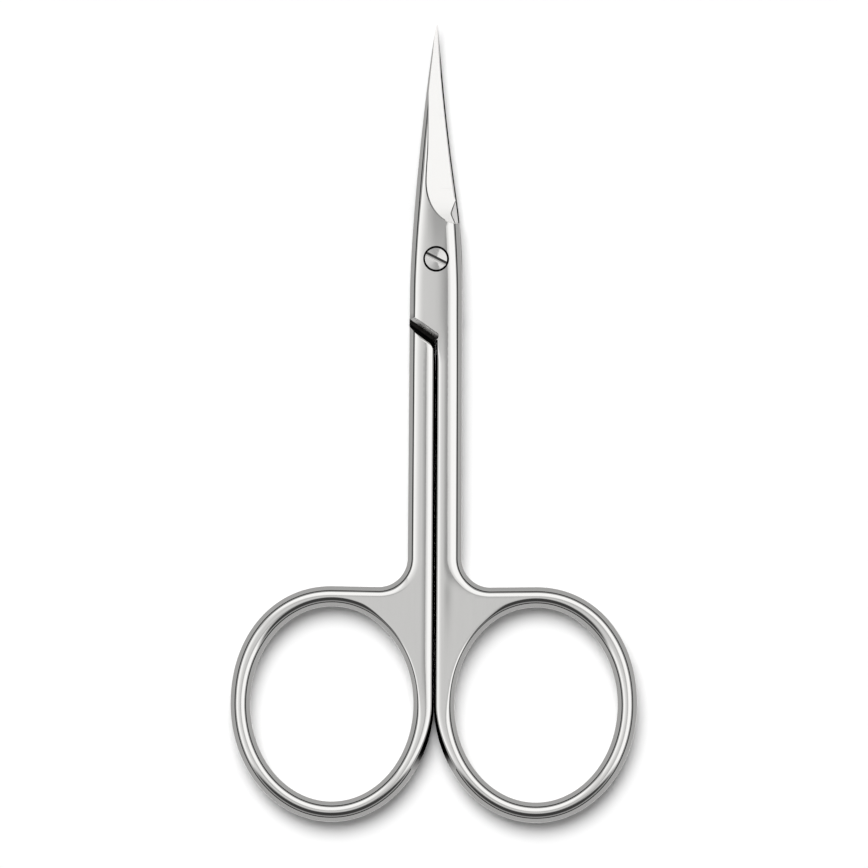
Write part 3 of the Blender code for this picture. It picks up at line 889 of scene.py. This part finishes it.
def paint_groove_shade(material, colour):
    """Painted shade in the groove between a plate's slanted end and the other half's step."""
    tree = material.node_tree
    calc = Nodes(tree)
    x, y = place_of(tree)
    slope = math.tan(LAP_END_ANGLE)
    beyond = calc.math("ADD", y, calc.math("MULTIPLY", calc.math("ABSOLUTE", x), -slope))
    edge = LAP_END_Y - PLATE_HALF_WIDTH * slope
    shade_socket(tree, "Base Color", calc.ramp(beyond, edge, edge + STEP_GAP), GROOVE_PAINTED_SHADE, colour)


def paint_inner_shade(material, colour):
    """Painted shade on the shanks' facing sides: their colour and specular tint are black, and turn bright
    round the foot of each ring.
    """
    tree = material.node_tree
    calc = Nodes(tree)
    _, y = place_of(tree)
    share = calc.ramp(y, *INNER_PAINTED_SHADE_FADE, 1.0, 0.0)
    shade_socket(tree, "Base Color", share, INNER_PAINTED_SHADE, colour)
    shade_socket(tree, "Specular Tint", share, INNER_PAINTED_SHADE, (1.0, 1.0, 1.0))


BRIGHT = (0.85, 0.843, 0.83)
SATIN = (0.8, 0.79, 0.78)
PALE = (0.95, 0.94, 0.93)
# Painted shade in the groove beside each plate's slanted end.
GROOVE_PAINTED_SHADE = (0.02, 0.019, 0.018)
# Painted shade in the narrow gap between the shanks' facing sides, fading out round the foot of each ring.
INNER_PAINTED_SHADE = (0.01, 0.0097, 0.0094)
INNER_PAINTED_SHADE_FADE = (-62.0 * MM, -59.4 * MM)
# Near-black colour of the painted dark lines: a painted reflection along each bevel's top, painted shade on
# the plunge wall and on the blade's broken back edge.
PAINTED_LINE_SHADE = (0.06, 0.059, 0.058)
# Painted shade on the notch's wall.
NOTCH_SHADE_COLOUR = (0.05, 0.049, 0.048)
# Painted shade in the bore and round the screw head.
BORE_SHADE_COLOUR = (0.01, 0.01, 0.01)
LINE_DEPTH = 4e-7               # depth of the working lines, in metres
LINE_DETAIL = 3.0
LINE_RANGE = (0.3, 0.7)         # of the noise, over which the roughness runs
ROUGHNESS_SPREAD = 0.3
ALONG = (4000.0, 250.0, 4000.0)
ACROSS = (250.0, 6000.0, 250.0)
EVEN = (5000.0, 5000.0, 5000.0)
POLISHED = steel_material("mirror_steel", BRIGHT, 0.06, ALONG)
GROUND = steel_material("ground_steel", BRIGHT, 0.12, ACROSS)
# Painted shade: the dark line of the plunge's steep wall.
PLUNGE_SHADE = steel_material("plunge_painted_shade", PAINTED_LINE_SHADE, 0.3, EVEN)
# Painted highlight: the pale end of the plunge's steep wall.
PLUNGE_HIGHLIGHT = steel_material("plunge_painted_highlight", PALE, 0.4, EVEN)
# Lapped steel, with painted shade in the groove.
LAPPED_WITH_GROOVE_SHADE = steel_material("lapped_steel_groove_shade", PALE, 0.45, ACROSS)
BEVELLED = steel_material("bevel_steel", BRIGHT, 0.3, EVEN)
STEPPED = steel_material("step_steel", BRIGHT, 0.06, EVEN)
# Painted shade on the notch's wall.
NOTCH_SHADE = steel_material("notch_painted_shade", NOTCH_SHADE_COLOUR, 0.3, EVEN)
# Painted shade in the bore and round the screw head.
BORE_SHADE = steel_material("bore_painted_shade", BORE_SHADE_COLOUR, 0.4, EVEN)
# Facing sides of the shanks, with painted shade.
INNER = steel_material("inner_steel_painted_shade", BRIGHT, 0.06, ALONG)
# Painted dark line: a painted reflection along the top of each bevel, painted shade on the broken edge at the
# parting plane.
EDGE_SHADE_LINE = steel_material("edge_painted_shade_line", PAINTED_LINE_SHADE, 0.2, ALONG)
TURNED = steel_material("turned_steel", PALE, 0.07, EVEN)
SLOTTED = steel_material("slot_steel", SATIN, 0.12, EVEN)
# Painted shade in the groove beside each plate's slanted end.
paint_groove_shade(LAPPED_WITH_GROOVE_SHADE, PALE)
# Painted shade on the shanks' facing sides.
paint_inner_shade(INNER, BRIGHT)


def add_half(half, turn):
    blank = blank_mesh(half.name + "_blank", half)
    grind = grind_cutter_mesh("grind")
    cutters = [lap_cutter_mesh("lap"), end_cutter_mesh("end"), grind,
               notch_cutter_mesh("notch"), bore_cutter_mesh("bore", half)]
    finishes = ((POLISHED, INNER, EDGE_SHADE_LINE), (LAPPED_WITH_GROOVE_SHADE, STEPPED), (BEVELLED,),
                (GROUND, PLUNGE_SHADE, PLUNGE_HIGHLIGHT), (NOTCH_SHADE,), (BORE_SHADE,))
    for mesh, materials in zip([blank] + cutters, finishes):
        for material in materials:
            mesh.materials.append(material)
    # The plunge's steep wall is painted: shade on its part towards the back, a highlight on its part towards
    # the edge.
    for face in grind.polygons:
        if abs(face.normal.z) < STEEP:
            face.material_index = 1 if face.center.x < PLUNGE_HIGHLIGHT_X else 2
    mesh = cut_mesh(half.name + "_cut", blank, cutters)
    close_holes(mesh)
    keep_shading(mesh, ((blank, 1.0, finishes[0]), (grind, -1.0, (GROUND,))))
    mesh.transform(Matrix.Translation((0, 0, HALF_THICKNESS)) @ turn)
    return add_object(half.name + "_steel", mesh)


def slot_section(middle, across):
    """Outline of the slot at one of its ends: a hollow floor between upright sides."""
    floor_z = THICKNESS - SLOT_DEPTH
    outline = [(-1.0 - SLOT_EDGE_SHARE, THICKNESS + OVERRUN), (-1.0 - SLOT_EDGE_SHARE, THICKNESS)]
    for step in range(2 * CORNER_STEPS + 1):
        share = step / CORNER_STEPS - 1
        outline.append((share, floor_z - SLOT_SAG * (1 - share ** 2) + SLOT_LEAN * share))
    outline.append((1.0, THICKNESS + OVERRUN))
    points = [(middle + across * share, z) for share, z in outline]
    return [(p.x, p.y, z) for p, z in points]


def add_screw():
    shoulder = THICKNESS - HEAD_HEIGHT
    bearing_foot = HALF_THICKNESS + LAP_FACE
    profile = [
        (THREAD_RADIUS, 0.0),
        (THREAD_RADIUS, bearing_foot),
        (BEARING_RADIUS, bearing_foot),
        (BEARING_RADIUS, shoulder),
        (HEAD_RADIUS, shoulder),
        (HEAD_RADIUS, THICKNESS - HEAD_CHAMFER),
        (HEAD_RADIUS - HEAD_CHAMFER, THICKNESS),
        (HEAD_POINT, THICKNESS),
    ]
    mesh = turned_mesh("screw_blank", profile)
    for vertex in mesh.vertices:
        x, y, z = vertex.co
        if z > THICKNESS - 2 * HEAD_CHAMFER:
            fall = HEAD_CONE * math.hypot(x, y) + HEAD_TILT[0] * x + HEAD_TILT[1] * y
            vertex.co.z = z - max(0.0, fall)
    mesh.materials.append(TURNED)
    reach = HEAD_RADIUS + OVERRUN
    along = Vector((math.cos(SLOT_ANGLE), math.sin(SLOT_ANGLE), 0.0))
    across = Vector((-along.y, along.x, 0.0)) * (SLOT_WIDTH / 2)
    slot = loft_mesh("slot", [slot_section(end * reach * along, across) for end in (-1, 1)])
    slot.materials.append(SLOTTED)
    mesh = cut_mesh("screw_cut", mesh, [slot])
    mesh.set_sharp_from_angle(angle=SMOOTH_ANGLE)
    return add_object("pivot_screw_steel", mesh)


upper = add_half(UPPER, Matrix.Identity(4))
lower = add_half(LOWER, Matrix.Rotation(math.pi, 4, "Y"))
screw = add_screw()
for piece, node, body, slot_name in ((upper, "upper_half", "upper", "polished_steel"),
                                     (lower, "lower_half", "lower", "polished_steel"),
                                     (screw, "pivot_screw", "lower", "screw_steel")):
    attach(piece, body)
    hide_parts(node)


# Floor

FLOOR_SIZE = 6.0
PAPER = (0.95, 0.95, 0.95)
bm = bmesh.new()
bmesh.ops.create_grid(bm, x_segments=1, y_segments=1, size=FLOOR_SIZE)
floor = add_object("floor", finished_mesh("floor", bm))
floor_material, _, shader = new_material("floor_paper")
shader.inputs["Base Color"].default_value = (*PAPER, 1.0)
shader.inputs["Roughness"].default_value = 1.0
shader.inputs["Specular IOR Level"].default_value = 0.0
floor.data.materials.append(floor_material)


# Light: a studio painted on the world by direction, which the steel mirrors, and one soft lamp.
# Each pair says where a tone starts to change and where it is reached, in parts of a unit direction.

BOX_WHITE = 1.1                 # the light box, which covers the right and the back
BOX_DIM = 0.78                  # the same near its edge
BOX_EDGE = math.sin(math.radians(6.6))
BOX_FADE = 0.004
BOX_RISE = 0.25
BOX_SLANT = 0.5                 # how its back edge slants on the left
ZENITH_GREY = 0.67              # straight above
EDGE_GREY = 0.34                # beside the box's right part
EDGE_FADE = (-0.15, -0.02)
DIM_START = -0.01
LEFT_START = -0.8               # the left brightens up to here
SOUTH_GREY = 0.05               # the dark front, narrower towards the sides
SOUTH_NARROWING = -0.4
SOUTH_FADE = (0.05, 0.24)
SOUTH_HEIGHT = (0.5, 0.66)
BELT_GREY = 0.3                 # a belt well over the horizon
BELT_HEIGHT = (0.5, 0.62)
LOW_GREY = 0.423                # all that is under the belt
LOW_HEIGHT = (0.21, 0.24)
SOFT_SHARE = 0.5                # of the studio's light on matt things; the lamp gives the rest
LAMP_ENERGY = 2.8
LAMP_ANGLE = math.radians(43)
LAMP_TURN = (math.radians(-28), math.radians(-10), 0)

world = bpy.data.worlds.new("studio")
bpy.context.scene.world = world
world.use_nodes = True
tree = world.node_tree
calc = Nodes(tree)
direction = tree.nodes.new("ShaderNodeTexCoord")
split = tree.nodes.new("ShaderNodeSeparateXYZ")
tree.links.new(direction.outputs["Generated"], split.inputs[0])
x, y, z = split.outputs

northward = calc.math("ADD", y, calc.math("MULTIPLY", calc.math("MINIMUM", x, 0.0), BOX_SLANT))
towards_box = calc.math("MAXIMUM", x, northward)
edge_grey = calc.ramp(x, *EDGE_FADE, ZENITH_GREY, EDGE_GREY)
dim = calc.ramp(towards_box, DIM_START, BOX_EDGE, ZENITH_GREY, edge_grey)
left = calc.ramp(x, LEFT_START, 0.0, BOX_WHITE - ZENITH_GREY, 0.0)
patch = calc.math("ADD", dim, left)
box = calc.ramp(towards_box, BOX_EDGE, BOX_EDGE + BOX_FADE)
bright = calc.ramp(towards_box, BOX_EDGE, BOX_EDGE + BOX_RISE, BOX_DIM, BOX_WHITE)
sky = calc.mix(box, patch, bright)
narrowing = calc.math("MULTIPLY", calc.math("ABSOLUTE", x), SOUTH_NARROWING)
south = calc.math("ADD", narrowing, calc.math("MULTIPLY", y, -1.0))
dark = calc.ramp(south, *SOUTH_FADE)
sky = calc.mix(dark, sky, calc.ramp(z, *SOUTH_HEIGHT, BELT_GREY, SOUTH_GREY))
sky = calc.mix(calc.ramp(z, *BELT_HEIGHT), BELT_GREY, sky)
sky = calc.mix(calc.ramp(z, *LOW_HEIGHT), LOW_GREY, sky)
path = tree.nodes.new("ShaderNodeLightPath")
sky = calc.mix(path.outputs["Is Glossy Ray"], calc.math("MULTIPLY", sky, SOFT_SHARE), sky)
sky = calc.mix(path.outputs["Is Camera Ray"], sky, 1.0)
colour = tree.nodes.new("ShaderNodeCombineColor")
for socket in colour.inputs:
    tree.links.new(sky, socket)
tree.links.new(colour.outputs[0], tree.nodes["Background"].inputs["Color"])

lamp_data = bpy.data.lights.new("top_light", "SUN")
lamp_data.energy = LAMP_ENERGY
lamp_data.angle = LAMP_ANGLE
lamp = add_object("top_light", lamp_data)
lamp.rotation_euler = LAMP_TURN
lamp.visible_glossy = False


# Camera, straight above

FRAME_WIDTH = 104.6 * MM        # what the photograph's width shows at the object
CAMERA_LENS = 800.0
SENSOR_WIDTH = 36.0
CAMERA_CENTRE = (-0.15 * MM, -21.1 * MM)
CAMERA_ROLL = 0.0052
CLIP_SHARES = (0.1, 10)         # of the camera's distance

camera_data = bpy.data.cameras.new("camera")
camera_data.lens = CAMERA_LENS
camera_data.sensor_width = SENSOR_WIDTH
camera = add_object("camera", camera_data)
distance = FRAME_WIDTH * CAMERA_LENS / SENSOR_WIDTH
camera.location = (*CAMERA_CENTRE, HALF_THICKNESS + distance)
camera.rotation_euler.z = CAMERA_ROLL
camera_data.clip_start, camera_data.clip_end = (share * distance for share in CLIP_SHARES)
bpy.context.scene.camera = camera
bpy.context.scene.view_settings.view_transform = "Standard"
